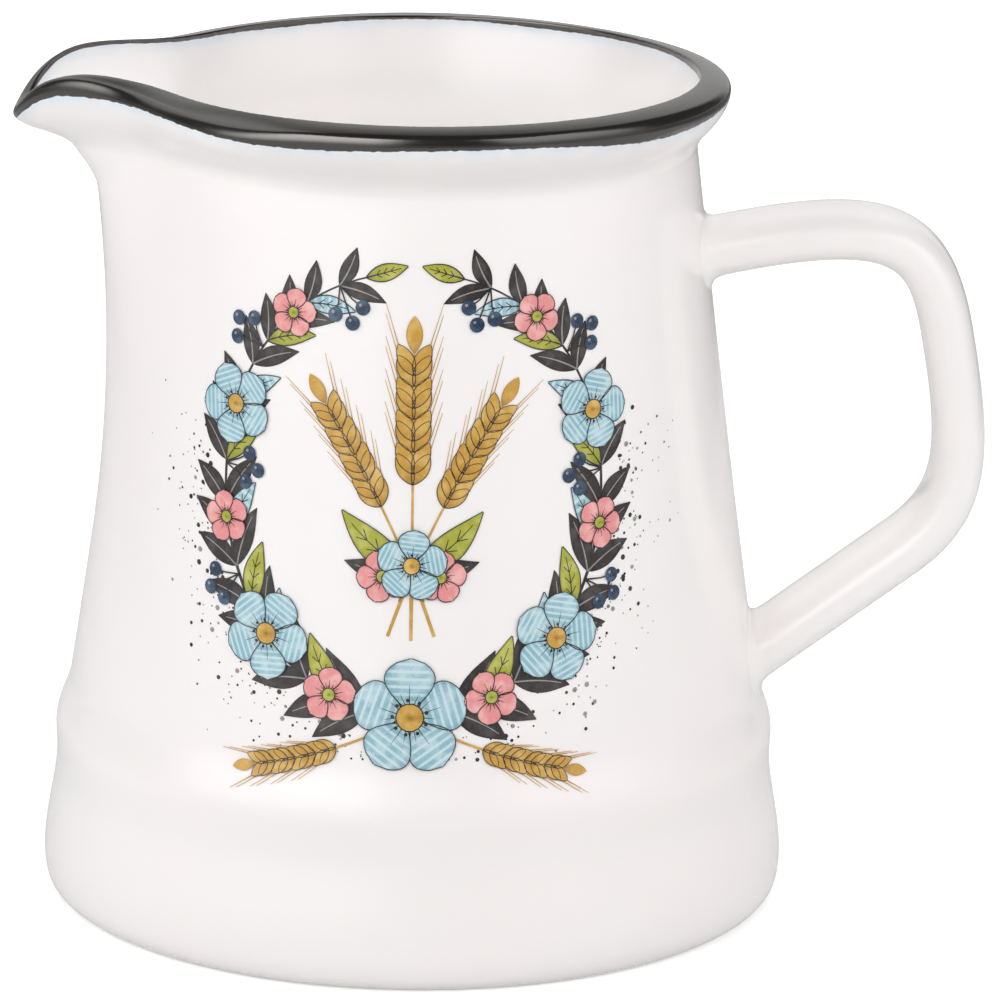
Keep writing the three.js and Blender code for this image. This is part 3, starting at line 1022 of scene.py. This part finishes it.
def makeInk(name, ink):
    # under the same clear skin as the white glaze
    material, tree, shader = newMaterial("ink " + name, IOR=whiteGlaze["ior"])
    bands = ink.get("band", 0.0)
    tint = useGroup(tree, printInk, Ink=ink["ink"], Light=ink["light"], Deep=ink["deep"], Bands=bands)
    skin = useGroup(tree, glazeSkin, Peel=whiteGlaze["peel"], Shine=whiteGlaze["shine"])
    fill(tree, shader["Base Color"], tint["Color"])
    fill(tree, shader["Roughness"], skin["Roughness"])
    fill(tree, shader["Normal"], bumped(tree, skin["Height"], whiteGlaze["bump"]))
    return material


def makePrint():
    drawSpeckles()
    drawWreath()
    drawSheaf()
    for name, store in patches.items():
        material = makeInk(name, inks[name])
        piece = addPiece("print_" + name, np.vstack(store["points"]), store["faces"], [material])
        layer = piece.data.uv_layers.new(name="print")
        spots = np.vstack(store["spots"])[[v for face in store["faces"] for v in face]]
        layer.data.foreach_set("uv", spots.astype(np.float32).ravel())


makePrint()


# studio: white paper floor, six soft boxes, the room that the glaze mirrors, and the camera of the photograph

studio = {
    "floorSize": 6.0,
    "floorTone": tone(232, 232, 232),
    "floorGlow": 0.4,
    "worldLight": 0.2,
    "roomRadius": 2.8,
    "roomStep": 4,  # degrees
    # light by degrees up: of the white wall at the back, of the dim room round it, of a soft box's front
    "backGlow": [
        (0, 0.62), (12, 0.68), (30, 0.62), (40, 0.45), (48, 0.23), (55, 0.08), (70, 0.05), (90, 0.04),
    ],
    "backSides": (0.8, 0.95),  # sines of the angles between which the wall fades out
    "roomGlow": [(0, 0.14), (8, 0.1), (20, 0.07), (45, 0.06), (90, 0.04)],
    "boxGlow": [
        (0, 0.22), (7, 0.33), (15, 0.5), (22, 0.66), (30, 0.8), (45, 0.95), (59, 1.0), (61, 0.0), (90, 0.0),
    ],
    "boxSharpness": 8,
    "boxes": [
        {"around": -45, "reach": 35, "light": 3.6},
        {"around": 60, "reach": 30, "light": 1.5},
        {"around": -135, "reach": 25, "light": 0.8},
    ],
    # light of the table by metres out from the jug's middle, and what the soft boxes add far out
    "cardGlow": [(0.047, 0.6), (0.33, 0.6), (0.4, 0.2), (2.7, 0.2)],
    "cardShare": 0.12,
    "cardShareFrom": 0.35,
    "cardRise": 0.0004,
}


def directRays(tree):
    # 1 for what the camera sees, also in a reflection or through glass
    seen = tree.nodes.new("ShaderNodeLightPath")
    direct = sums(tree, "MAXIMUM", seen.outputs["Is Camera Ray"], seen.outputs["Is Glossy Ray"])
    return sums(tree, "MAXIMUM", direct, seen.outputs["Is Transmission Ray"])


def addStage(name, points, faces):
    mesh = bpy.data.meshes.new(name)
    mesh.from_pydata(points, [], faces)
    item = bpy.data.objects.new(name, mesh)
    bpy.context.scene.collection.objects.link(item)
    material = bpy.data.materials.new(name)
    material.use_nodes = True
    material.node_tree.nodes.clear()
    mesh.materials.append(material)
    return item, material.node_tree


def onlyReflected(item):
    item.visible_camera = item.visible_diffuse = item.visible_shadow = False
    item.visible_transmission = item.visible_volume_scatter = False


def glowing(tree, strength):
    glow = tree.nodes.new("ShaderNodeEmission")
    glow.inputs["Color"].default_value = (1, 1, 1, 1)
    fill(tree, glow.inputs["Strength"], strength)
    out = tree.nodes.new("ShaderNodeOutputMaterial")
    tree.links.new(glow.outputs[0], out.inputs["Surface"])
    return glow, out


def makeFloor():
    half = studio["floorSize"] / 2
    corners = [(-half, -half, 0), (half, -half, 0), (half, half, 0), (-half, half, 0)]
    floor, tree = addStage("paper_floor", corners, [(0, 1, 2, 3)])
    glow, out = glowing(tree, ramp(tree, directRays(tree), 0, 1, 0.0, studio["floorGlow"]))
    paper = tree.nodes.new("ShaderNodeBsdfDiffuse")
    paper.inputs["Color"].default_value = studio["floorTone"]
    both = tree.nodes.new("ShaderNodeAddShader")
    tree.links.new(paper.outputs[0], both.inputs[0])
    tree.links.new(glow.outputs[0], both.inputs[1])
    tree.links.new(both.outputs[0], out.inputs["Surface"])


def makeWorld():
    world = bpy.data.worlds.new("white studio")
    world.use_nodes = True
    tree = world.node_tree
    back = tree.nodes["Background"].inputs
    back["Color"].default_value = (1, 1, 1, 1)
    fill(tree, back["Strength"], ramp(tree, directRays(tree), 0, 1, studio["worldLight"], 1.0))
    bpy.context.scene.world = world


def roundAbout():
    # degrees round from the camera's side, and the same as an angle in the scene
    around = np.arange(-180, 180, studio["roomStep"])
    return around, np.radians(around - 90)


def boxLight(around):
    def front(box):
        off = (around - box["around"]) / box["reach"]
        return box["light"] * np.exp(-off ** studio["boxSharpness"])

    return sum(front(box) for box in studio["boxes"])


def giveGlow(item, tree, light):
    layer = item.data.attributes.new("glow", "FLOAT", "POINT")
    layer.data.foreach_set("value", light.astype(np.float32).ravel())
    glowing(tree, attribute(tree, "glow"))
    onlyReflected(item)


def makeMirroredRoom():
    # wall, dim room and soft boxes as the glossy glaze mirrors them, and only there
    rise, (around, turn) = np.arange(1, 90), roundAbout()
    x = np.outer(np.cos(np.radians(rise)), np.cos(turn))
    y = np.outer(np.cos(np.radians(rise)), np.sin(turn))
    z = np.outer(np.sin(np.radians(rise)), np.ones(len(turn)))
    points = np.stack([x, y, z], -1).reshape(-1, 3) * studio["roomRadius"]
    dome, tree = addStage("mirrored_room", points.tolist(), gridFaces(len(rise), len(turn), wrap=True))
    glows = (studio[k] for k in ("backGlow", "roomGlow", "boxGlow"))
    back, room, box = (np.interp(rise, *zip(*glow))[:, None] for glow in glows)
    wall = smooth(np.sin(turn), *studio["backSides"])
    giveGlow(dome, tree, room + (back - room) * wall + box * boxLight(around))


def makeTableCard():
    # grey card on the floor round the jug, which darkens the glaze towards its outlines
    around, turn = roundAbout()
    ring = np.stack([np.cos(turn), np.sin(turn), np.zeros(len(turn))], -1)
    reach, tones = (np.array(v)[:, None] for v in zip(*studio["cardGlow"]))
    points = (reach[:, :, None] * ring + [0, 0, studio["cardRise"]]).reshape(-1, 3)
    card, tree = addStage("table_card", points.tolist(), gridFaces(len(reach), len(turn), wrap=True))
    far = reach > studio["cardShareFrom"]
    giveGlow(card, tree, tones + studio["cardShare"] * boxLight(around) * far)


lampAway, lampAim = 1.5, 0.06  # metres from the jug, and the height they point at
softBoxes = [
    {"name": "key", "around": -42, "up": 30, "size": (0.8, 0.8), "power": 4.9},
    {"name": "fill", "around": 59, "up": 30, "size": (0.8, 0.8), "power": 5.7},
    {"name": "front", "around": 0, "up": 32, "size": (0.9, 0.5), "power": 6.6},
    {"name": "left", "around": -85, "up": 30, "size": (0.7, 0.9), "power": 6.3},
    {"name": "right", "around": 95, "up": 30, "size": (0.7, 0.9), "power": 3.4},
    {"name": "back", "around": 180, "up": 36, "size": (1.2, 0.8), "power": 14.6},
]


def makeSoftBoxes():
    for box in softBoxes:
        lamp = bpy.data.lights.new(box["name"], "AREA")
        lamp.shape = "RECTANGLE"
        lamp.size, lamp.size_y = box["size"]
        lamp.energy = box["power"]
        light = bpy.data.objects.new(box["name"], lamp)
        around, up = math.radians(box["around"]), math.radians(box["up"])
        aim = Vector((math.sin(around) * math.cos(up), -math.cos(around) * math.cos(up), math.sin(up)))
        light.location = aim * lampAway + Vector((0, 0, lampAim))
        light.rotation_euler = aim.to_track_quat("Z", "Y").to_euler()
        light.visible_glossy = False
        bpy.context.scene.collection.objects.link(light)


shot = {
    "distance": 850.0,
    "elevation": math.radians(14.97),
    "height": 50.0,  # of the point on the axis that the distance is measured from
    "aim": (10.85, 0.0, 51.45),
    "roll": math.radians(0.93),
    "lens": 235.13,
    "sensor": 36.0,
    "clip": (0.05, 20.0),
}


def makeCamera():
    data = bpy.data.cameras.new("camera")
    data.lens = shot["lens"]
    data.sensor_width = shot["sensor"]
    data.clip_start, data.clip_end = shot["clip"]
    camera = bpy.data.objects.new("camera", data)
    bpy.context.scene.collection.objects.link(camera)
    away, up = math.cos(shot["elevation"]), math.sin(shot["elevation"])
    camera.location = Vector((0, -away, up)) * shot["distance"] * mm + Vector((0, 0, shot["height"] * mm))
    look = Vector(shot["aim"]) * mm - camera.location
    turn = look.to_track_quat("-Z", "Y").to_matrix() @ Matrix.Rotation(shot["roll"], 3, "Z")
    camera.rotation_euler = turn.to_euler()
    bpy.context.scene.camera = camera


makeFloor()
makeWorld()
makeMirroredRoom()
makeTableCard()
makeSoftBoxes()
makeCamera()
bpy.context.scene.view_settings.view_transform = "Standard"
print("studio ready")
